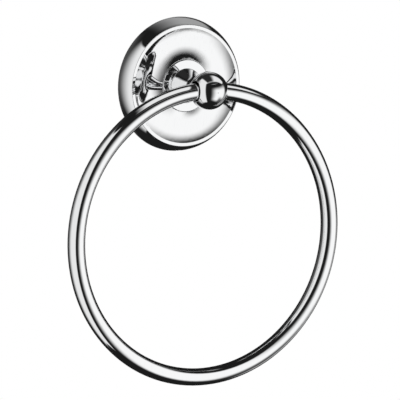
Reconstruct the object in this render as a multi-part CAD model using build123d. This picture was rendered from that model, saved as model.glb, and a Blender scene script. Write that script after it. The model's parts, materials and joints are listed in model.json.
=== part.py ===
from build123d import *
import math
import os

# A towel ring for a wall: a round flange, a turned post with a ball end, and a ring that swings in the ball.
# Millimetres. The wall is the plane Y = 0, the front is towards -Y, and +Z is up.
# The origin is the middle of the flange's back. Heights are measured off the wall.

# Ring
ring_diameter = 150.0  # to the middle of the rod
rod_diameter = 9.0
rod_end_chamfer = 0.6

# Post
standoff = 33.6  # from the wall to the middle of the ball
ball_diameter = 20.0
ball_neck_fillet = 0.8
neck_diameter = 12.0
neck_straight = 4.3  # straight part of the neck, next to the ball
collar_diameter = 17.6  # step where the neck's flare starts
collar_step = 0.6
collar_edge_fillet = 0.15
foot_rise = 0.4  # how far the foot's edge stands proud of the hub
foot_edge_fillet = 0.3
ring_hole_web = 3.0  # metal left between the two blind ring holes
ring_hole_fillet = 0.4

# Flange
flange_diameter = 70.6
flange_edge = 0.5  # straight part of the side, next to the wall
flange_back_fillet = 0.2
side_inset = 3.45  # how much smaller the rim is than the back, on the radius
side_bulge = 0.65
rim_height = 9.4
rim_width = 1.65
rim_fillet = 0.35
face_hollow = 1.6  # how far the face dips between the rim and the hub
hub_diameter = 27.4
hub_height = 9.4
hub_edge_fillet = 0.25
web_thickness = 2.6  # floor of the hub, which the post's foot sits on
flange_wall = 2.0  # at the thinnest, under the face's dip
back_land = 4.6  # width of the back face that meets the wall

# Wall bracket
bracket_undercut = 2.0
wall_hole_diameter = 4.8
wall_countersink_diameter = 9.2

# Screws and washer
set_screw_diameter = 3.0
set_screw_recess = 0.5
set_screw_point = 0.6
set_screw_hex = 1.5
set_screw_hex_depth = 1.4
post_screw_diameter = 5.0
post_screw_length = 14.0
post_screw_head_diameter = 9.5
post_screw_head_height = 2.4
post_screw_head_flat = 6.0  # diameter of the flat on top of the head
post_screw_head_bulge = 0.25
post_screw_hex = 3.0
post_screw_hex_depth = 1.4
washer_diameter = 10.0
washer_thickness = 1.0

# Clearances, on the radius or between faces
ring_clearance = 0.15
rod_end_clearance = 0.3
foot_clearance = 0.1
bracket_clearance = 0.3
bracket_headroom = 1.2
hub_clearance = 0.9
thread_clearance = 0.05
screw_hole_clearance = 0.25
point_clearance = 0.1
head_wall_clearance = 0.7
tapping_room = 1.5  # tapped hole beyond the screw's tip

# Ring, ball and neck
ring_radius = ring_diameter / 2
rod_radius = rod_diameter / 2
ball_radius = ball_diameter / 2
neck_radius = neck_diameter / 2
collar_radius = collar_diameter / 2
rod_sag = ring_radius - math.sqrt(ring_radius**2 - ball_radius**2)
ring_hole_radius = rod_radius + rod_sag + ring_clearance
ball_joint_height = standoff - math.sqrt(ball_radius**2 - neck_radius**2)
neck_height = ball_joint_height - neck_straight

# Stack on the flange's axis, from the wall outwards
head_back = head_wall_clearance
head_seat = head_back + post_screw_head_height
web_back = head_seat + washer_thickness
seat_height = web_back + web_thickness
post_screw_tip = head_seat + post_screw_length
foot_height = hub_height + foot_rise
collar_height = foot_height + collar_step

# Flange, from its edge inwards
flange_radius = flange_diameter / 2
rim_radius = flange_radius - side_inset
face_radius = rim_radius - rim_width
bore_radius = flange_radius - back_land
bore_height = rim_height - face_hollow - flange_wall
hub_radius = hub_diameter / 2
foot_radius = hub_radius - foot_clearance
cup_radius = hub_radius + flange_wall

# Bracket and screws
bracket_thickness = bore_height - bracket_headroom
bracket_radius = bore_radius - bracket_clearance
bracket_back_radius = bracket_radius - bracket_undercut
bracket_bore_radius = cup_radius + hub_clearance
wall_hole_offset = (bracket_bore_radius + bracket_back_radius) / 2
wall_hole_radius = wall_hole_diameter / 2
set_screw_radius = set_screw_diameter / 2
set_screw_height = bracket_thickness / 2
post_screw_radius = post_screw_diameter / 2
screw_hole_radius = post_screw_radius + screw_hole_clearance


def at(radius, height):
    """A point of a turned outline: distance from the flange's axis, and height off the wall."""
    return Vector(radius, -height)


def bowed(start, end, rise):
    """An arc that stands off its chord, on the left of the way from start to end if the rise is positive."""
    chord = end - start
    left = Vector(-chord.Y, chord.X).normalized()
    return ThreePointArc(start, (start + end) / 2 + left * rise, end)


def flat_outline(*edges):
    """The flat outline that the edges enclose, ready to be turned about the flange's axis."""
    return make_face(Curve() + list(edges))


def round_corner(outline, corner, radius):
    """Rounds the corner of a flat outline that is nearest to a point."""
    return fillet(outline.vertices().sort_by_distance(corner)[0], radius)


def bar_off_wall(radius, low, high):
    """A round bar on the flange's axis, from one height off the wall to another."""
    return Pos(0, -(low + high) / 2, 0) * Rot(90, 0, 0) * Cylinder(radius, high - low)


def key_socket(across_flats, depth):
    """A hexagonal bar that stands on the XY plane, to sink a key socket with."""
    return extrude(RegularPolygon(across_flats / math.sqrt(3), 6), depth)


def make_flange():
    """Cast rosette: bowed side, flat rim and dished face, with a cup for the foot and a hollow back."""
    back_inner = at(bore_radius, 0)
    back_outer = at(flange_radius, 0)
    side_start = at(flange_radius, flange_edge)
    rim_outer = at(rim_radius, rim_height)
    rim_inner = at(face_radius, rim_height)
    hub_edge = at(hub_radius, hub_height)
    seat_outer = at(hub_radius, seat_height)
    seat_inner = at(screw_hole_radius, seat_height)
    web_inner = at(screw_hole_radius, web_back)
    cup_back = at(cup_radius, web_back)
    cup_top = at(cup_radius, bore_height)
    bore_top = at(bore_radius, bore_height)
    outline = flat_outline(
        Line(back_inner, back_outer),
        Line(back_outer, side_start),
        bowed(side_start, rim_outer, side_bulge),
        Line(rim_outer, rim_inner),
        bowed(rim_inner, hub_edge, -face_hollow),
        Line(hub_edge, seat_outer),
        Line(seat_outer, seat_inner),
        Line(seat_inner, web_inner),
        Line(web_inner, cup_back),
        Line(cup_back, cup_top),
        Line(cup_top, bore_top),
        Line(bore_top, back_inner),
    )
    outline = round_corner(outline, back_outer, flange_back_fillet)
    outline = round_corner(outline, rim_outer, rim_fillet)
    outline = round_corner(outline, rim_inner, rim_fillet)
    outline = round_corner(outline, hub_edge, hub_edge_fillet)
    body = revolve(outline, Axis.Y)
    drill_radius = set_screw_radius + thread_clearance
    drill = Cylinder(drill_radius, flange_radius, align=(Align.CENTER, Align.CENTER, Align.MAX))
    return body - Pos(0, -set_screw_height, -bracket_back_radius) * drill


def make_post():
    """Turned post with foot, collar, flared neck and ball, tapped from behind and drilled for the ring."""
    foot_centre = at(0, seat_height)
    foot_back = at(foot_radius, seat_height)
    foot_edge = at(foot_radius, foot_height)
    collar_foot = at(collar_radius, foot_height)
    collar_edge = at(collar_radius, collar_height)
    neck_start = at(neck_radius, neck_height)
    ball_joint = at(neck_radius, ball_joint_height)
    ball_side = at(ball_radius, standoff)
    ball_tip = at(0, standoff + ball_radius)
    outline = flat_outline(
        Line(foot_centre, foot_back),
        Line(foot_back, foot_edge),
        Line(foot_edge, collar_foot),
        Line(collar_foot, collar_edge),
        TangentArc(neck_start, collar_edge, tangent=(0, 1)),
        Line(neck_start, ball_joint),
        ThreePointArc(ball_joint, ball_side, ball_tip),
        Line(ball_tip, foot_centre),
    )
    outline = round_corner(outline, foot_edge, foot_edge_fillet)
    outline = round_corner(outline, collar_edge, collar_edge_fillet)
    outline = round_corner(outline, ball_joint, ball_neck_fillet)
    body = revolve(outline, Axis.Y)
    body -= bar_off_wall(post_screw_radius + thread_clearance, seat_height, post_screw_tip + tapping_room)
    drill = Cylinder(ring_hole_radius, ball_radius, align=(Align.CENTER, Align.CENTER, Align.MIN))
    for turn in (90, -90):
        body -= Pos(0, -standoff, 0) * Rot(0, turn, 0) * Pos(0, 0, ring_hole_web / 2) * drill
    mouths = body.edges().filter_by(lambda edge: abs(edge.center().X) > ring_hole_radius)
    return fillet(mouths, ring_hole_fillet)


def make_ring():
    """Round rod bent to a circle, open at the top, with both ends inside the ball."""
    end_offset = ring_hole_web / 2 + rod_end_clearance
    half_gap = math.degrees(math.asin(end_offset / (ring_radius - rod_radius)))
    centre = Vector(0, -standoff, -ring_radius)
    end_plane = Plane(centre, x_dir=(0, 0, 1), z_dir=(1, 0, 0)).rotated((0, half_gap, 0))
    section = end_plane * Pos(ring_radius, 0) * Circle(rod_radius)
    rod = revolve(section, Axis(centre, (0, 1, 0)), 360 - 2 * half_gap)
    ends = rod.edges().filter_by(GeomType.CIRCLE).group_by(Axis.Z)[-1]
    return chamfer(ends, rod_end_chamfer)


def make_wall_bracket():
    """Ring-shaped plate with an undercut edge for the set screw, and a countersunk wall hole on each side."""
    back_inner = at(bracket_bore_radius, 0)
    back_outer = at(bracket_back_radius, 0)
    front_outer = at(bracket_radius, bracket_thickness)
    front_inner = at(bracket_bore_radius, bracket_thickness)
    outline = flat_outline(
        Line(back_inner, back_outer),
        Line(back_outer, front_outer),
        Line(front_outer, front_inner),
        Line(front_inner, back_inner),
    )
    body = revolve(outline, Axis.Y)
    sink_radius = wall_countersink_diameter / 2
    sink_depth = sink_radius - wall_hole_radius
    sink = Cone(wall_hole_radius, sink_radius, sink_depth, align=(Align.CENTER, Align.CENTER, Align.MAX))
    for side in (-1, 1):
        hole = bar_off_wall(wall_hole_radius, 0, bracket_thickness)
        mouth = Pos(0, -bracket_thickness, 0) * Rot(90, 0, 0) * sink
        body -= Pos(side * wall_hole_offset, 0, 0) * (hole + mouth)
    return body


def make_set_screw():
    """Grub screw with a flat point and a key socket, upright in the flange's underside."""
    point_radius = set_screw_radius - set_screw_point
    bracket_slope = bracket_undercut / bracket_thickness
    bracket_reach = bracket_back_radius + bracket_slope * (set_screw_height + point_radius)
    point = bracket_reach + point_clearance
    side_slope = side_inset / (rim_height - flange_edge)
    side_radius = flange_radius - side_slope * (set_screw_height - flange_edge)
    key_end = side_radius - set_screw_recess
    body = Cylinder(set_screw_radius, key_end - point, align=(Align.CENTER, Align.CENTER, Align.MIN))
    body = chamfer(body.edges().group_by(Axis.Z)[-1], set_screw_point)
    body -= key_socket(set_screw_hex, set_screw_hex_depth)
    return Pos(0, -set_screw_height, -key_end) * body


def make_post_screw():
    """Button-head screw that comes from behind, with its head on the washer."""
    head_centre = at(0, head_back)
    flat_edge = at(post_screw_head_flat / 2, head_back)
    head_edge = at(post_screw_head_diameter / 2, head_seat)
    under_head = at(post_screw_radius, head_seat)
    tip_edge = at(post_screw_radius, post_screw_tip)
    tip = at(0, post_screw_tip)
    outline = flat_outline(
        Line(head_centre, flat_edge),
        bowed(flat_edge, head_edge, post_screw_head_bulge),
        Line(head_edge, under_head),
        Line(under_head, tip_edge),
        Line(tip_edge, tip),
        Line(tip, head_centre),
    )
    body = revolve(outline, Axis.Y)
    socket = Rot(90, 0, 0) * key_socket(post_screw_hex, post_screw_hex_depth)
    return body - Pos(0, -head_back, 0) * socket


def make_post_washer():
    """Flat washer between the screw's head and the floor of the hub."""
    disc = bar_off_wall(washer_diameter / 2, head_seat, web_back)
    return disc - bar_off_wall(screw_hole_radius, head_seat, web_back)


pieces = {
    "flange": make_flange(),
    "post": make_post(),
    "ring": make_ring(),
    "wall_bracket": make_wall_bracket(),
    "set_screw": make_set_screw(),
    "post_screw": make_post_screw(),
    "post_washer": make_post_washer(),
}
os.makedirs("parts", exist_ok=True)
for name, piece in pieces.items():
    export_step(piece, f"parts/{name}.step")
    print(name, round(piece.volume), "mm3")
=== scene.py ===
# %% [markdown]
# # A chrome towel ring, dressed for its picture
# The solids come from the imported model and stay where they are. This notebook gives them their finishes,
# cuts real threads on the two screws, and builds a small photo studio around the part. Chrome has almost no
# colour of its own, so most of its look is the studio that it mirrors.

# %% Load the frame
import json
import math
import bpy
from mathutils import Matrix, Vector


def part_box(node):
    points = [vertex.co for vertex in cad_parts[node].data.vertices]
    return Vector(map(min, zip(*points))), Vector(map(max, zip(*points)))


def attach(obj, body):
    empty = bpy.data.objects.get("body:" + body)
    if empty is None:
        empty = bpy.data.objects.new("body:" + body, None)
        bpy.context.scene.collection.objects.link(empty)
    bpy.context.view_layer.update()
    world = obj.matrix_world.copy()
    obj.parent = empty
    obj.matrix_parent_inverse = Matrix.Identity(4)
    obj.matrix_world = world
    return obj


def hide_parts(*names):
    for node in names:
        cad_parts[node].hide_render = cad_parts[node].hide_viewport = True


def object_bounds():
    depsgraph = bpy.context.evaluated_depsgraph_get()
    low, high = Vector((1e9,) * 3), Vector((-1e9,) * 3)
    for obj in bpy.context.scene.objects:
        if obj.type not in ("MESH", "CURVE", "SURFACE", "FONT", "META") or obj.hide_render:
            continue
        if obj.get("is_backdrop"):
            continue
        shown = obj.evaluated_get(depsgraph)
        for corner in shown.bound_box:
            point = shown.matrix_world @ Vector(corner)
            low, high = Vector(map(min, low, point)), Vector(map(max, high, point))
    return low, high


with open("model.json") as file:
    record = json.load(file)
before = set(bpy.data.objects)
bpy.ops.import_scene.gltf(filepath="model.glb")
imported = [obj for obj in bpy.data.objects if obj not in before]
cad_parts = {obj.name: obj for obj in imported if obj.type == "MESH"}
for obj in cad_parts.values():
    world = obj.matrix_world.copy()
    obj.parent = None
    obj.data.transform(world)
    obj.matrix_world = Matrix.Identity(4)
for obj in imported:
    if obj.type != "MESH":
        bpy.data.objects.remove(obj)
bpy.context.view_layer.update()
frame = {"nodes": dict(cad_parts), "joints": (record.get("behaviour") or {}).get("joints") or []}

nodes = frame["nodes"]
print("pieces:", ", ".join(sorted(nodes)))

# %% [markdown]
# ## Measures that the scene needs
# Two places are read from the model, so that the camera and the studio follow it. The ring turns about the
# middle of the ball, and the joint says where that is. The ring's own middle is one radius lower.

# %% Read the measures
swing = frame["joints"][0]
ball_middle = Vector(swing["pos_m"])
ring_low, ring_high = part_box("ring")
ring_outside = (ring_high.x - ring_low.x) / 2
ring_middle = Vector((0, ball_middle.y, ring_low.z + ring_outside))
print("ball's middle, in mm:", [round(value * 1000, 1) for value in ball_middle])
print("ring's middle, in mm:", [round(value * 1000, 1) for value in ring_middle])

# %% [markdown]
# ## The camera
# The picture looks at the ring from its left and a little from above, through a long lens, so the ring's
# near and far sides are almost the same size. A camera can be turned by Euler angles, but building its
# three axes with cross products shows plainly what each number does.

# %% Place the camera
CAMERA_AZIMUTH = math.radians(-29.38)
CAMERA_ELEVATION = math.radians(8.645)
CAMERA_DISTANCE = 1.8
CAMERA_ROLL = math.radians(1.413)
FRAME_WIDTH = 0.20739  # what the picture takes in at the ring's distance
AIM_RIGHT = -0.00314  # where the picture's middle lies, seen from the ring's middle
AIM_UP = 0.01779


def direction(azimuth, elevation):
    """A unit vector from the part. Azimuth 0 is straight out of the wall, and grows towards +X."""
    level = math.cos(elevation)
    return Vector((math.sin(azimuth) * level, -math.cos(azimuth) * level, math.sin(elevation)))


camera_data = bpy.data.cameras.new("photo_camera")
camera = bpy.data.objects.new("photo_camera", camera_data)
bpy.context.scene.collection.objects.link(camera)
camera_data.lens = camera_data.sensor_width * CAMERA_DISTANCE / FRAME_WIDTH
camera_place = ring_middle + direction(CAMERA_AZIMUTH, CAMERA_ELEVATION) * CAMERA_DISTANCE
to_ring = (ring_middle - camera_place).normalized()
level_right = to_ring.cross(Vector((0, 0, 1))).normalized()
aim = ring_middle + level_right * AIM_RIGHT + level_right.cross(to_ring) * AIM_UP
forward = (aim - camera_place).normalized()
right = (level_right - forward * level_right.dot(forward)).normalized()
turn = Matrix((right, right.cross(forward), -forward)).transposed()
rolled = turn @ Matrix.Rotation(CAMERA_ROLL, 3, "Z")
camera.matrix_world = Matrix.Translation(camera_place) @ rolled.to_4x4()
bpy.context.scene.camera = camera
print("lens:", round(camera_data.lens, 1), "mm")

# %% [markdown]
# ## Small helpers for node trees
# Node trees are verbose in Python, so a few helpers keep the cells short. They add a node and fill its
# sockets, add a Math node, start or place a node group with named sockets, and start a material. A socket's
# value is either a plain number or another node's output, which is then linked.


# %% Define the node helpers
def fill(tree, socket, value):
    """Gives a socket a plain value, or links another socket to it."""
    if isinstance(value, bpy.types.NodeSocket):
        tree.links.new(value, socket)
    else:
        socket.default_value = value


def add(tree, kind, settings=None, **values):
    """Adds a node. Settings are its properties, and the other names are its input sockets."""
    node = tree.nodes.new(kind)
    for name, value in (settings or {}).items():
        setattr(node, name, value)
    for name, value in values.items():
        fill(tree, node.inputs[name.replace("_", " ")], value)
    return node


def maths(tree, operation, *values):
    """Adds a Math node and returns its output."""
    node = tree.nodes.new("ShaderNodeMath")
    node.operation = operation
    for socket, value in zip(node.inputs, values):
        fill(tree, socket, value)
    return node.outputs[0]


def new_group(name, inputs, outputs):
    """Starts a shader node group. Returns it with its input node's sockets and its output node's sockets."""
    group = bpy.data.node_groups.new(name, "ShaderNodeTree")
    for socket, start in inputs.items():
        kind = "NodeSocketVector" if start is None else "NodeSocketFloat"
        made = group.interface.new_socket(socket, in_out="INPUT", socket_type=kind)
        if start is not None:
            made.default_value = start
    for socket in outputs:
        group.interface.new_socket(socket, in_out="OUTPUT", socket_type="NodeSocketFloat")
    return group, group.nodes.new("NodeGroupInput").outputs, group.nodes.new("NodeGroupOutput").inputs


def use_group(tree, group, **values):
    """Places a node group in a tree."""
    return add(tree, "ShaderNodeGroup", {"node_tree": group}, **values)


def new_material(name):
    """Starts a material. Returns it with its tree, its Principled shader and its output node."""
    material = bpy.data.materials.new(name)
    material.use_nodes = True
    tree = material.node_tree
    return material, tree, tree.nodes["Principled BSDF"], tree.nodes["Material Output"]


print("helpers: fill, add, maths, new_group, use_group and new_material")

# %% [markdown]
# ## Polishing marks
# A plated casting is buffed on a wheel. From close by it keeps hair-fine scratches that run with the wheel,
# and its surface is never quite flat, so mirrored edges waver by a hair. Both are too small to model. A
# node group makes them once, for every metal here: stretched noise for the scratches and slow noise for the
# waver.

# %% Build the polishing marks group
SCRATCH_STRETCH = (1, 1, 0.08)  # noise that changes slowly along Z gives scratches that run along Z
SCRATCH_DETAIL = 3.0
CLEAN_METAL = 0.55  # noise up to this leaves no scratch
FULL_SCRATCH = 0.8
WAVER_DETAIL = 1.0

polishing_marks, marks_in, marks_out = new_group(
    "polishing_marks",
    {"Position": None, "Scratch Size": 0.0006, "Waver Size": 0.012, "Waver Share": 0.5},
    ["Scratches", "Height"],
)


def noise(tree, place, size, detail):
    """Adds noise of a given size and returns its value."""
    per_size = maths(tree, "DIVIDE", 1.0, size)
    return add(tree, "ShaderNodeTexNoise", Vector=place, Scale=per_size, Detail=detail).outputs[0]


def build_polishing_marks(tree, given, made):
    """Makes the scratches, and a height that is part scratches and part waver."""
    stretched = add(tree, "ShaderNodeMapping", Vector=given["Position"], Scale=SCRATCH_STRETCH).outputs[0]
    streaks = noise(tree, stretched, given["Scratch Size"], SCRATCH_DETAIL)
    waver = noise(tree, given["Position"], given["Waver Size"], WAVER_DETAIL)
    limits = {"From_Min": CLEAN_METAL, "From_Max": FULL_SCRATCH}
    scratches = add(tree, "ShaderNodeMapRange", Value=streaks, **limits).outputs[0]
    height = add(tree, "ShaderNodeMix", Factor=given["Waver Share"], A=scratches, B=waver)
    fill(tree, made["Scratches"], scratches)
    fill(tree, made["Height"], height.outputs["Result"])


build_polishing_marks(polishing_marks, marks_in, marks_out)
print("group", polishing_marks.name, "with", len(polishing_marks.nodes), "nodes")

# %% [markdown]
# ## Polished chrome
# The flange, the post and the ring are plated with bright chrome over polished metal. It mirrors nearly all
# light, with no grain to see from a step away. The shader is fully metallic and almost smooth. Only the
# marks make the roughness and the surface vary, so that a highlight breaks up a little when one comes
# close.

# %% Make the chrome
CHROME = (0.93, 0.935, 0.94, 1)
CHROME_IN_MARKS = (0.87, 0.875, 0.885, 1)
CHROME_ROUGHNESS = (0.02, 0.06)  # on clean metal and in a full scratch
CHROME_BUMP = 0.00002
CHROME_NODES = ("flange", "post", "ring")
BUMP_STRENGTH = 0.05
MIX_COLOURS = (6, 7)  # a Mix node has inputs for each kind of data, and these two take the colours
MIX_RESULT = 2


def mix_colours(tree, factor, first, second):
    """Blends two colours by a factor and returns the outcome."""
    mix = add(tree, "ShaderNodeMix", {"data_type": "RGBA"}, Factor=factor)
    for socket, colour in zip(MIX_COLOURS, (first, second)):
        fill(tree, mix.inputs[socket], colour)
    return mix.outputs[MIX_RESULT]


def finish_metal(name, marks_values, colours, roughness, bump_height):
    """A bare metal whose colour, roughness and surface vary with its polishing marks."""
    material, tree, shader, _ = new_material(name)
    place = add(tree, "ShaderNodeTexCoord").outputs["Object"]
    marks = use_group(tree, polishing_marks, Position=place, **marks_values).outputs
    smooth, dull = roughness
    fill(tree, shader.inputs["Base Color"], mix_colours(tree, marks["Scratches"], *colours))
    shader.inputs["Metallic"].default_value = 1.0
    dulled = add(tree, "ShaderNodeMapRange", Value=marks["Scratches"], To_Min=smooth, To_Max=dull)
    fill(tree, shader.inputs["Roughness"], dulled.outputs[0])
    bump = add(tree, "ShaderNodeBump", Strength=BUMP_STRENGTH, Distance=bump_height, Height=marks["Height"])
    fill(tree, shader.inputs["Normal"], bump.outputs[0])
    return material


def give_material(material, names):
    """Puts one material on CAD nodes, whose meshes stay as they are."""
    for name in names:
        nodes[name].data.materials.clear()
        nodes[name].data.materials.append(material)
    print(material.name, "on", ", ".join(names))


chrome = finish_metal("polished_chrome", {}, (CHROME, CHROME_IN_MARKS), CHROME_ROUGHNESS, CHROME_BUMP)
give_material(chrome, CHROME_NODES)

# %% [markdown]
# ## Zinc plate and stainless steel
# The bracket and the washer are stamped from steel and plated with bright zinc, which is bluish and a
# little cloudy. The screws are plain stainless steel, with fine marks from the tools that cut them. Both
# use the same group of polishing marks as the chrome, with sizes of their own, and are deeper marked and
# duller.

# %% Make the zinc and the stainless steel
ZINC = (0.62, 0.64, 0.67, 1)
ZINC_IN_MARKS = (0.5, 0.5, 0.49, 1)
ZINC_MARKS = {"Scratch_Size": 0.0011, "Waver_Size": 0.004, "Waver_Share": 0.35}
ZINC_ROUGHNESS = (0.2, 0.38)
ZINC_BUMP = 0.0004
ZINC_NODES = ("wall_bracket", "post_washer")
STAINLESS = (0.56, 0.555, 0.54, 1)
STAINLESS_IN_MARKS = (0.42, 0.415, 0.41, 1)
STAINLESS_MARKS = {"Scratch_Size": 0.0003, "Waver_Size": 0.002, "Waver_Share": 0.2}
STAINLESS_ROUGHNESS = (0.24, 0.4)
STAINLESS_BUMP = 0.0002

zinc = finish_metal("bright_zinc", ZINC_MARKS, (ZINC, ZINC_IN_MARKS), ZINC_ROUGHNESS, ZINC_BUMP)
give_material(zinc, ZINC_NODES)
stainless = finish_metal(
    "plain_stainless", STAINLESS_MARKS, (STAINLESS, STAINLESS_IN_MARKS), STAINLESS_ROUGHNESS, STAINLESS_BUMP
)
print(stainless.name, "waits for the screws")

# %% [markdown]
# ## Threaded screws
# In the solids the two screws are plain cylinders. A real thread is a ridge that climbs by one pitch in
# each turn. It could be swept along a helix, but then the thread has to be joined to the head. It is
# simpler to treat the whole screw as one net of rows and columns, like a turned piece whose radius also
# depends on the angle: round at the head, six-sided in the key socket and wavy along the thread. One closed
# mesh comes out.

# %% Define the screw maker
SCREW_COLUMNS = 60  # a multiple of six, so that the key socket gets true corners
ROWS_PER_PITCH = 12
THREAD_DEPTH = 0.58  # as a share of the pitch
THREAD_FLAT = 0.1  # the flat on the ridge and the one in the groove, each as a share of the pitch
SHARP_EDGE = math.radians(35)
SIXTH_TURN = math.pi / 3


def round_row(along, radius):
    """One round row of the net."""
    return [(along, radius)] * SCREW_COLUMNS


def hexagon_row(along, across_flats):
    """One six-sided row of the net."""
    row = []
    for column in range(SCREW_COLUMNS):
        from_corner = (math.tau * column / SCREW_COLUMNS) % SIXTH_TURN
        row.append((along, across_flats / 2 / math.cos(from_corner - SIXTH_TURN / 2)))
    return row


def thread_rows(start, end, radius, pitch, start_chamfer, end_chamfer):
    """Rows along a thread. The ridge's flanks are straight, and chamfers cut it off at its ends."""
    rows = []
    count = round((end - start) / pitch * ROWS_PER_PITCH)
    for step in range(count + 1):
        along = start + (end - start) * step / count
        limit = radius - max(0, start_chamfer - (along - start), end_chamfer - (end - along))
        row = []
        for column in range(SCREW_COLUMNS):
            phase = (along / pitch - column / SCREW_COLUMNS) % 1
            climb = 1 - abs(2 * phase - 1)
            ridge = min(1, max(0, (climb - THREAD_FLAT) / (1 - 2 * THREAD_FLAT)))
            row.append((along, min(limit, radius - THREAD_DEPTH * pitch * (1 - ridge))))
        rows.append(row)
    return rows


def screw_mesh(name, rows, socket_floor, tip, start, along, across):
    """Joins the rows into one closed mesh, from the floor of the key socket to the tip."""
    side = along.cross(across)
    points = [start + along * socket_floor]
    for row in rows:
        for column, (reach, radius) in enumerate(row):
            angle = math.tau * column / SCREW_COLUMNS
            sideways = across * math.cos(angle) + side * math.sin(angle)
            points.append(start + along * reach + sideways * radius)
    points.append(start + along * tip)
    last = len(points) - 1
    final = last - SCREW_COLUMNS
    faces = []
    for column in range(SCREW_COLUMNS):
        following = (column + 1) % SCREW_COLUMNS
        faces.append((0, 1 + following, 1 + column))
        for row in range(len(rows) - 1):
            here = 1 + row * SCREW_COLUMNS
            beyond = here + SCREW_COLUMNS
            faces.append((here + column, here + following, beyond + following, beyond + column))
        faces.append((final + column, final + following, last))
    mesh = bpy.data.meshes.new(name)
    mesh.from_pydata(points, [], faces)
    mesh.polygons.foreach_set("use_smooth", [True] * len(mesh.polygons))
    mesh.set_sharp_from_angle(angle=SHARP_EDGE)
    mesh.materials.append(stainless)
    screw = bpy.data.objects.new(name, mesh)
    bpy.context.scene.collection.objects.link(screw)
    return screw


def declare_screw(screw, node):
    """Lets a threaded screw stand for its plain solid."""
    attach(screw, "holder")
    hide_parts(node)
    print(screw.name, "has", len(screw.data.polygons), "faces")


print("a screw's net has", SCREW_COLUMNS, "columns, and", ROWS_PER_PITCH, "rows to a pitch")

# %% [markdown]
# ## The set screw
# It sits upright in the flange's underside, key socket down, and its flat point locks the flange to the
# bracket. Its solid's box gives its place, its radius and its length.

# %% Make the set screw
SET_SCREW_PITCH = 0.0005
SET_SCREW_LEAD = 0.0002  # chamfer at the key socket
SET_SCREW_POINT = 0.0006  # chamfer at the flat point
SET_SCREW_KEY = 0.0015
SET_SCREW_KEY_DEPTH = 0.0014

low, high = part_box("set_screw")
length = high.z - low.z
radius = (high.x - low.x) / 2
key_end = Vector(((low.x + high.x) / 2, (low.y + high.y) / 2, low.z))
rows = [hexagon_row(SET_SCREW_KEY_DEPTH, SET_SCREW_KEY), hexagon_row(0, SET_SCREW_KEY)]
rows += thread_rows(0, length, radius, SET_SCREW_PITCH, SET_SCREW_LEAD, SET_SCREW_POINT)
set_screw = screw_mesh(
    "set_screw_threaded", rows, SET_SCREW_KEY_DEPTH, length, key_end, Vector((0, 0, 1)), Vector((1, 0, 0))
)
declare_screw(set_screw, "set_screw")

# %% [markdown]
# ## The post screw
# A button-head screw comes from behind, through the washer and the flange, and pulls the post tight. The
# head's dome is a flat arc between its rim and the flat round the socket.

# %% Make the post screw
POST_SCREW_PITCH = 0.0008
POST_SCREW_RADIUS = 0.0025
POST_SCREW_HEAD_HEIGHT = 0.0024
POST_SCREW_HEAD_FLAT = 0.003  # radius of the flat round the socket
POST_SCREW_DOME = 0.00025  # how far the arc rises above a straight slope
POST_SCREW_DOME_ROWS = 6
POST_SCREW_KEY = 0.003
POST_SCREW_KEY_DEPTH = 0.0014
POST_SCREW_TIP_CHAMFER = 0.0005

low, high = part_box("post_screw")
length = high.y - low.y
head_radius = (high.x - low.x) / 2
head_back = Vector(((low.x + high.x) / 2, high.y, (low.z + high.z) / 2))
rows = [hexagon_row(POST_SCREW_KEY_DEPTH, POST_SCREW_KEY), hexagon_row(0, POST_SCREW_KEY)]
slope = Vector((POST_SCREW_HEAD_HEIGHT, head_radius - POST_SCREW_HEAD_FLAT))
outward = Vector((-slope.y, slope.x)).normalized()
for step in range(POST_SCREW_DOME_ROWS + 1):
    share = step / POST_SCREW_DOME_ROWS
    arch = 4 * share * (1 - share)  # a parabola that is 1 halfway
    reach, rise = slope * share + outward * (POST_SCREW_DOME * arch)
    rows.append(round_row(max(0, reach), min(head_radius, POST_SCREW_HEAD_FLAT + rise)))
rows.append(round_row(POST_SCREW_HEAD_HEIGHT, POST_SCREW_RADIUS))
rows += thread_rows(
    POST_SCREW_HEAD_HEIGHT, length, POST_SCREW_RADIUS, POST_SCREW_PITCH, 0, POST_SCREW_TIP_CHAMFER
)
post_screw = screw_mesh(
    "post_screw_threaded", rows, POST_SCREW_KEY_DEPTH, length, head_back,
    Vector((0, -1, 0)), Vector((1, 0, 0)),
)
declare_screw(post_screw, "post_screw")

# %% [markdown]
# ## Soft windows
# Chrome shows the room, so the studio is built like a real one: black cloth all round, with white openings
# whose edges fade. Every opening and every card here is a soft-edged patch, so one node group makes them
# all. It takes two coordinates, in degrees or in metres, and the four edges with the width over which each
# one fades. Two edges may lean, which turns a plain rectangle into the slanted shapes that cloth and card
# make in practice. A level below 1 makes the whole patch weaker.

# %% Build the soft window group
EDGES = ("Left", "Right", "Bottom", "Top")

soft_window, window_in, window_out = new_group(
    "soft_window",
    {
        "Across": 0.0, "Up": 0.0, "Left": -30.0, "Right": 30.0, "Bottom": -30.0, "Top": 30.0,
        "Left Softness": 10.0, "Right Softness": 10.0, "Bottom Softness": 10.0, "Top Softness": 10.0,
        "Right Lean": 0.0, "Top Lean": 0.0, "Level": 1.0,
    },
    ["Mask"],
)


def soft_edge(tree, value, edge, softness):
    """Rises smoothly from 0 to 1 where a value passes an edge."""
    low = maths(tree, "MULTIPLY_ADD", softness, -0.5, edge)
    high = maths(tree, "MULTIPLY_ADD", softness, 0.5, edge)
    smooth = {"interpolation_type": "SMOOTHSTEP"}
    return add(tree, "ShaderNodeMapRange", smooth, Value=value, From_Min=low, From_Max=high).outputs[0]


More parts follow.
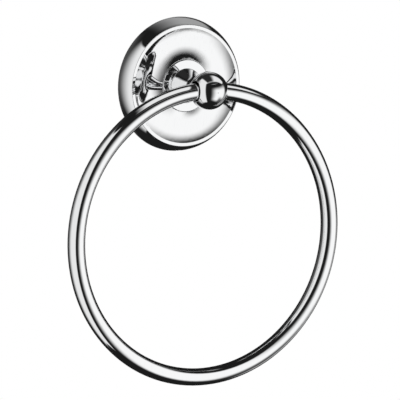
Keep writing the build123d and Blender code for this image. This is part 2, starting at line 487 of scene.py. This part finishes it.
def build_soft_window(tree, given, made):
    """Multiplies the four edges. The right edge may lean with the height, and the top edge with the width."""
    right = maths(tree, "MULTIPLY_ADD", given["Right Lean"], given["Up"], given["Right"])
    top = maths(tree, "MULTIPLY_ADD", given["Top Lean"], given["Across"], given["Top"])
    past_left = soft_edge(tree, given["Across"], given["Left"], given["Left Softness"])
    past_right = soft_edge(tree, given["Across"], right, given["Right Softness"])
    past_bottom = soft_edge(tree, given["Up"], given["Bottom"], given["Bottom Softness"])
    past_top = soft_edge(tree, given["Up"], top, given["Top Softness"])
    across = maths(tree, "MULTIPLY", past_left, maths(tree, "SUBTRACT", 1.0, past_right))
    up = maths(tree, "MULTIPLY", past_bottom, maths(tree, "SUBTRACT", 1.0, past_top))
    fill(tree, made["Mask"], maths(tree, "MULTIPLY", maths(tree, "MULTIPLY", across, up), given["Level"]))


def patch(left, right, bottom, top, fades, **others):
    """Names the values of a soft window. The fades are those of its left, right, bottom and top edge."""
    values = dict(zip(EDGES, (left, right, bottom, top)))
    for edge, fade in zip(EDGES, fades):
        values[edge + "_Softness"] = fade
    values.update(others)
    return values


def patch_mask(tree, across, up, values):
    """Places a soft window in a tree and returns its mask."""
    return use_group(tree, soft_window, Across=across, Up=up, **values).outputs["Mask"]


build_soft_window(soft_window, window_in, window_out)
print("group", soft_window.name, "with", len(soft_window.nodes), "nodes")

# %% [markdown]
# ## Studio materials
# Studio pieces are no part of the object, so they are declared as stage. Mirrored rays alone see them, so
# that none of them shows in the picture or casts a shadow. They need no paint or gloss: each one glows
# evenly at its own grey, and where a mask says so it is clear. Directions are measured from the ball of the
# towel ring, in degrees. Azimuth 0 is straight out of the wall and grows to the right, and elevation 0 is
# the horizon.


# %% Define the studio materials
def mirrored_only(thing):
    """Marks a studio piece that chrome mirrors and that nothing else sees."""
    thing.visible_camera = False
    thing.visible_diffuse = False
    thing.visible_transmission = False
    thing.visible_volume_scatter = False
    thing.visible_shadow = False
    thing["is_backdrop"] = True


def new_cloth(name):
    """Starts a material for a studio piece, without a Principled shader."""
    material, tree, shader, output = new_material(name)
    tree.nodes.remove(shader)
    return material, tree, output


def patch_shader(tree, output, mask, inside, outside):
    """Shows one shader inside a mask and another outside it."""
    mixed = add(tree, "ShaderNodeMixShader")
    for socket, value in zip(mixed.inputs, (mask, outside.outputs[0], inside.outputs[0])):
        fill(tree, socket, value)
    fill(tree, output.inputs["Surface"], mixed.outputs[0])


def clear(tree):
    """A shader that lets every ray through."""
    return add(tree, "ShaderNodeBsdfTransparent")


def glow(tree, level):
    """A shader that glows evenly in a neutral grey."""
    return add(tree, "ShaderNodeEmission", Color=(level, level, level, 1), Strength=1.0)


def round_the_part(tree):
    """The azimuth and the elevation of a point of a studio piece whose origin is at the ball."""
    place = add(tree, "ShaderNodeTexCoord").outputs["Object"]
    sight = add(tree, "ShaderNodeVectorMath", {"operation": "NORMALIZE"}, Vector=place).outputs[0]
    axes = add(tree, "ShaderNodeSeparateXYZ", Vector=sight).outputs
    outward = maths(tree, "MULTIPLY", axes["Y"], -1.0)
    azimuth = maths(tree, "DEGREES", maths(tree, "ARCTAN2", axes["X"], outward))
    return azimuth, maths(tree, "DEGREES", maths(tree, "ARCSINE", axes["Z"]))


print("studio materials: new_cloth, patch_shader, clear, glow and round_the_part")

# %% [markdown]
# ## The light tent
# The cloth hangs round the part at arm's length. Inside a window it is transparent, so the white background
# shows through it. The right window is the main light, and a black flag takes away its lower right corner.
# On the far right a weak bounce stands in for a pale wall, and a faint light comes from behind on the left.
# The tent has the size of a real one because nearby cloth looks different from the top and from the bottom
# of the ring, and that is plain to see in the ring's bands. Its lower half is stretched, so that the tall
# softbox of the next step fits into it.

# %% Hang the tent
TENT_RADIUS = 0.75
TENT_DEPTH = 1.6  # how far it reaches down, as a share of its radius
TENT_SEGMENTS = 96
CLOTH_GREY = 0.012
RIGHT_WINDOW = patch(left=3, right=78, bottom=-50, top=42, fades=(42, 20, 20, 10), Top_Lean=-0.1)
CORNER_FLAG = patch(left=43, right=110, bottom=-85, top=-31, fades=(26, 10, 10, 20), Level=0.9)
WALL_BOUNCE = patch(
    left=84, right=108, bottom=-54, top=18.5, fades=(14, 14, 10, 14), Top_Lean=-0.3, Level=0.4
)
REAR_LIGHT = patch(left=-160, right=-100, bottom=-20, top=40, fades=(20, 30, 40, 30), Level=0.06)

tent_cloth, tree, output = new_cloth("tent_cloth")
azimuth, elevation = round_the_part(tree)
past_flag = maths(tree, "SUBTRACT", 1.0, patch_mask(tree, azimuth, elevation, CORNER_FLAG))
opening = maths(tree, "MULTIPLY", patch_mask(tree, azimuth, elevation, RIGHT_WINDOW), past_flag)
for values in (WALL_BOUNCE, REAR_LIGHT):
    opening = maths(tree, "MAXIMUM", opening, patch_mask(tree, azimuth, elevation, values))
patch_shader(tree, output, opening, clear(tree), glow(tree, CLOTH_GREY))

bpy.ops.mesh.primitive_uv_sphere_add(
    segments=TENT_SEGMENTS, ring_count=TENT_SEGMENTS // 2, radius=TENT_RADIUS, location=ball_middle
)
tent = bpy.context.object
tent.name = "light_tent"
for vertex in tent.data.vertices:
    if vertex.co.z < 0:
        vertex.co.z *= TENT_DEPTH
tent.data.materials.append(tent_cloth)
mirrored_only(tent)
print("tent of", TENT_RADIUS, "m with a window, a bounce and a light from behind")

# %% [markdown]
# ## The left softbox
# The light on the left stands closer. From the ring's left side its edge shows further to the right than
# from the ball, and that difference gives its distance. It is a tall sheet that stands in an arc round the
# part. The sheet is clear, apart from one glowing patch, whose edges are directions from the ball as in the
# tent.

# %% Hang the left softbox
SOFTBOX_RADIUS = 0.33
SOFTBOX_LIGHT = 0.86
SOFTBOX_SIDES = (-140, -40)  # the sheet reaches past the glowing patch on every side
SOFTBOX_ENDS = (-1.3, 0.5)
SOFTBOX = patch(left=-113, right=-48, bottom=-68.3, top=52, fades=(46, 8, 2.5, 4), Right_Lean=-0.06)
SHEET_STEP = 5  # degrees from one fold of a curved sheet to the next


def link_mesh(name, points, faces, material, placing=Matrix()):
    """Makes an object from points and faces, with its origin at the ball or placed from there."""
    mesh = bpy.data.meshes.new(name)
    mesh.from_pydata(points, [], faces)
    mesh.materials.append(material)
    thing = bpy.data.objects.new(name, mesh)
    thing.matrix_world = Matrix.Translation(ball_middle) @ placing
    bpy.context.scene.collection.objects.link(thing)
    return thing


def curved_sheet(name, radius, sides, ends, material):
    """Stands a sheet upright round the ball. Its sides are azimuths and its ends are heights."""
    points = []
    faces = []
    for step, angle in enumerate(range(sides[0], sides[1] + 1, SHEET_STEP)):
        foot = direction(math.radians(angle), 0) * radius
        points += [foot + Vector((0, 0, end)) for end in ends]
        if step:
            faces.append((2 * step - 2, 2 * step, 2 * step + 1, 2 * step - 1))
    mirrored_only(link_mesh(name, points, faces, material))


softbox_cloth, tree, output = new_cloth("softbox_cloth")
azimuth, elevation = round_the_part(tree)
mask = patch_mask(tree, azimuth, elevation, SOFTBOX)
patch_shader(tree, output, mask, glow(tree, SOFTBOX_LIGHT), clear(tree))
curved_sheet("left_softbox", SOFTBOX_RADIUS, SOFTBOX_SIDES, SOFTBOX_ENDS, softbox_cloth)
print("softbox", SOFTBOX_RADIUS, "m from the ball")

# %% [markdown]
# ## Cards
# A card is a flat sheet with soft edges, placed in metres from the ball. A white card adds a light and a
# black one hides a light behind it. A plain black card hides too much, because it stands in the way of
# slanting rays as well. Photographers narrow a light with a honeycomb grid, which works in one direction
# only, and the Layer Weight node can do the like for a card. It tells how a ray meets the sheet, from 0 for
# head-on to 1 for grazing, so a card with slants is seen only by rays that meet it steeply.

# %% Define the cards
EVEN_BLEND = 0.5  # with it, Facing is 1 minus the cosine of the angle to the card's normal
STEEP = (0.45, 0.25)  # slants at which a card is unseen and fully seen
STEEPEST = (0.12, 0.06)


def lying(height):
    """Places a card level, this far above the ball. Its sheet then spans X and Y."""
    return Matrix.Translation((0, 0, height))


def standing(distance):
    """Places a card upright, this far behind the ball. Its sheet then spans X and Z."""
    return Matrix.Translation((0, distance, 0)) @ Matrix.Rotation(math.radians(90), 4, "X")


def soft_card(name, values, placing, level, slants=None):
    """Hangs a card that glows at a level. Slants, where given, limit it to steep rays."""
    material, tree, output = new_cloth(name)
    place = add(tree, "ShaderNodeTexCoord").outputs["Object"]
    axes = add(tree, "ShaderNodeSeparateXYZ", Vector=place).outputs
    mask = patch_mask(tree, axes["X"], axes["Y"], values)
    if slants:
        unseen, seen = slants
        slant = add(tree, "ShaderNodeLayerWeight", Blend=EVEN_BLEND).outputs["Facing"]
        steep = add(tree, "ShaderNodeMapRange", Value=slant, From_Min=unseen, From_Max=seen).outputs[0]
        mask = maths(tree, "MULTIPLY", mask, steep)
    patch_shader(tree, output, mask, glow(tree, level), clear(tree))
    left = values["Left"] - values["Left_Softness"]
    right = values["Right"] + values["Right_Softness"]
    bottom = values["Bottom"] - values["Bottom_Softness"]
    top = values["Top"] + values["Top_Softness"]
    corners = [(left, bottom, 0), (right, bottom, 0), (right, top, 0), (left, top, 0)]
    mirrored_only(link_mesh(name, corners, [(0, 1, 2, 3)], material, placing))
    print("hung", name)


print("card makers: lying, standing and soft_card")

# %% [markdown]
# ## The top card
# A white card hangs over the ball. It draws the light band along the upper side of the ring's two arms and
# the light panel on the upper right of the ball. Without it they would mirror only black cloth.

# %% Hang the top card
TOP_CARD_HEIGHT = 0.055
TOP_CARD_LIGHT = 0.85
TOP_CARD = patch(
    left=-0.052, right=0.1, bottom=-0.039, top=0.008, fades=(0.02, 0.03, 0.012, 0.012), Top_Lean=-0.2
)

soft_card("top_card", TOP_CARD, lying(TOP_CARD_HEIGHT), TOP_CARD_LIGHT)

# %% [markdown]
# ## Black cards under the top card
# The photograph is black in some places that look straight up, where the top card would show. Four black
# cards hide it there. The first is for the upper left of the ball and the end of the left arm, the second
# for the left edge of the hub, and the third for the neck and the inside of the flange's upper rim. The
# fourth lies in the ring's opening and is for the bottom of the ring. All of them have slants, so the arms
# keep their light.

# %% Hang the black cards
OVER_POST_HEIGHT = 0.0125
NECK_CARD_LIGHT = 0.022  # a little lighter than the cloth
NECK_CARD = patch(
    left=-0.009, right=-0.0005, bottom=-0.012, top=0.03, fades=(0.002, 0.004, 0.004, 0.004)
)
POST_CARD = patch(
    left=-0.004, right=0.014, bottom=0.001, top=0.015, fades=(0.002, 0.004, 0.002, 0.004)
)
REAR_CARD_HEIGHT = 0.017
REAR_CARD = patch(
    left=-0.022, right=0.022, bottom=0.005, top=0.03, fades=(0.006, 0.006, 0.004, 0.004)
)
LOW_CARD_HEIGHT = -0.06
LOW_CARD = patch(
    left=-0.062, right=0.062, bottom=-0.034, top=0.012, fades=(0.006, 0.006, 0.004, 0.004)
)

soft_card("neck_card", NECK_CARD, lying(OVER_POST_HEIGHT), NECK_CARD_LIGHT, STEEP)
soft_card("post_card", POST_CARD, lying(OVER_POST_HEIGHT), CLOTH_GREY, STEEP)
soft_card("rear_card", REAR_CARD, lying(REAR_CARD_HEIGHT), CLOTH_GREY, STEEP)
soft_card("low_card", LOW_CARD, lying(LOW_CARD_HEIGHT), CLOTH_GREY, STEEPEST)

# %% [markdown]
# ## Cards at the back
# A grey card hangs above the flange's back and lifts the top of its side. A white one stands just behind
# the wall's plane. It never shows in the picture, but it lights the bracket and the post screw when the
# part is turned round.

# %% Hang the cards at the back
BACK_CARD_HEIGHT = 0.05
BACK_CARD_LIGHT = 0.36
BACK_CARD = patch(
    left=-0.008, right=0.045, bottom=0.027, top=0.06, fades=(0.034, 0.02, 0.009, 0.02)
)
BEHIND_CARD_DISTANCE = 0.04
BEHIND_CARD_LIGHT = 0.8
BEHIND_CARD = patch(
    left=-0.026, right=0.026, bottom=-0.026, top=0.026, fades=(0.018, 0.018, 0.018, 0.018)
)

soft_card("back_card", BACK_CARD, lying(BACK_CARD_HEIGHT), BACK_CARD_LIGHT)
soft_card("behind_card", BEHIND_CARD, standing(BEHIND_CARD_DISTANCE), BEHIND_CARD_LIGHT)

# %% [markdown]
# ## The front flag
# A curved black sheet stands in front of the right window. It hides the window's upper part from the ball
# and from the flange's face, though not from the bottom of the ring. The dark arc over the hub is this
# sheet, mirrored in the hollow face. Its lower edge fades over a hand's width, so the arc has no hard end.

# %% Stand the front flag
FLAG_RADIUS = 0.236
FLAG_SIDES = (-40, 95)
FLAG_ENDS = (0, 0.2)
FLAG = patch(left=-30, right=83, bottom=0.065, top=0.2, fades=(15, 8, 0.11, 0.005))  # degrees and metres

flag_cloth, tree, output = new_cloth("front_flag")
azimuth, _ = round_the_part(tree)
place = add(tree, "ShaderNodeTexCoord").outputs["Object"]
height = add(tree, "ShaderNodeSeparateXYZ", Vector=place).outputs["Z"]
mask = patch_mask(tree, azimuth, height, FLAG)
patch_shader(tree, output, mask, glow(tree, CLOTH_GREY), clear(tree))
curved_sheet("front_flag", FLAG_RADIUS, FLAG_SIDES, FLAG_ENDS, flag_cloth)
print("front flag", FLAG_RADIUS, "m from the ball")

# %% [markdown]
# ## Floor and lamp
# The picture has a plain white background. A pale round floor lies well below the part, with an edge that
# fades into the white, and one large lamp overhead gives it a soft shadow. Chrome mirrors neither of them:
# it has its own studio.

# %% Lay the floor and hang the lamp
FLOOR_DROP = 0.40
FLOOR_RADIUS = 0.45
FLOOR_FADE = 0.2
FLOOR_SEGMENTS = 96
FLOOR_COLOUR = (0.86, 0.86, 0.86, 1)
FLOOR_ROUGHNESS = 0.9
LAMP_HEIGHT = 1.4
LAMP_SIZE = 1.2
LAMP_POWER = 9.0

floor_paint, tree, shader, output = new_material("pale_floor")
place = add(tree, "ShaderNodeTexCoord").outputs["Object"]
reach = add(tree, "ShaderNodeVectorMath", {"operation": "LENGTH"}, Vector=place).outputs["Value"]
shader.inputs["Base Color"].default_value = FLOOR_COLOUR
shader.inputs["Roughness"].default_value = FLOOR_ROUGHNESS
past_edge = soft_edge(tree, reach, FLOOR_RADIUS - FLOOR_FADE / 2, FLOOR_FADE)
patch_shader(tree, output, past_edge, clear(tree), shader)
floor_place = ball_middle - Vector((0, 0, FLOOR_DROP))
bpy.ops.mesh.primitive_circle_add(
    vertices=FLOOR_SEGMENTS, radius=FLOOR_RADIUS, fill_type="NGON", location=floor_place
)
floor = bpy.context.object
floor.name = "pale_floor"
floor.data.materials.append(floor_paint)
floor.visible_glossy = False
floor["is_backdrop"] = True

lamp_data = bpy.data.lights.new("soft_lamp", "AREA")
lamp_data.size = LAMP_SIZE
lamp_data.energy = LAMP_POWER
lamp = bpy.data.objects.new("soft_lamp", lamp_data)
lamp.location = ball_middle + Vector((0, 0, LAMP_HEIGHT))
lamp.visible_glossy = False
bpy.context.scene.collection.objects.link(lamp)
print("floor", FLOOR_DROP, "m below the ball, lamp", LAMP_HEIGHT, "m above it")

# %% [markdown]
# ## Background and view
# The world is white wherever it is seen: straight, mirrored or through glass. As a light it is only half as
# strong, so that pale surfaces don't clip. The Standard view shows colours as they are written.

# %% Set the background
AMBIENT = 0.5

world = bpy.data.worlds.new("white_background")
bpy.context.scene.world = world
world.use_nodes = True
tree = world.node_tree
path = add(tree, "ShaderNodeLightPath").outputs
seen = maths(tree, "MAXIMUM", path["Is Camera Ray"], path["Is Glossy Ray"])
seen = maths(tree, "MAXIMUM", seen, path["Is Transmission Ray"])
background = tree.nodes["Background"]
background.inputs["Color"].default_value = (1, 1, 1, 1)
fill(tree, background.inputs["Strength"], maths(tree, "MULTIPLY_ADD", seen, 1.0 - AMBIENT, AMBIENT))
bpy.context.scene.view_settings.view_transform = "Standard"
print("white background, ambient light", AMBIENT)

# %% [markdown]
# ## Size
# The dressed part has to keep the size of its solids, so both boxes are written down before the script
# ends.

# %% Print the dressed part's size
low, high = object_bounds()
print("dressed part, in mm:", [round((top - bottom) * 1000, 1) for bottom, top in zip(low, high)])
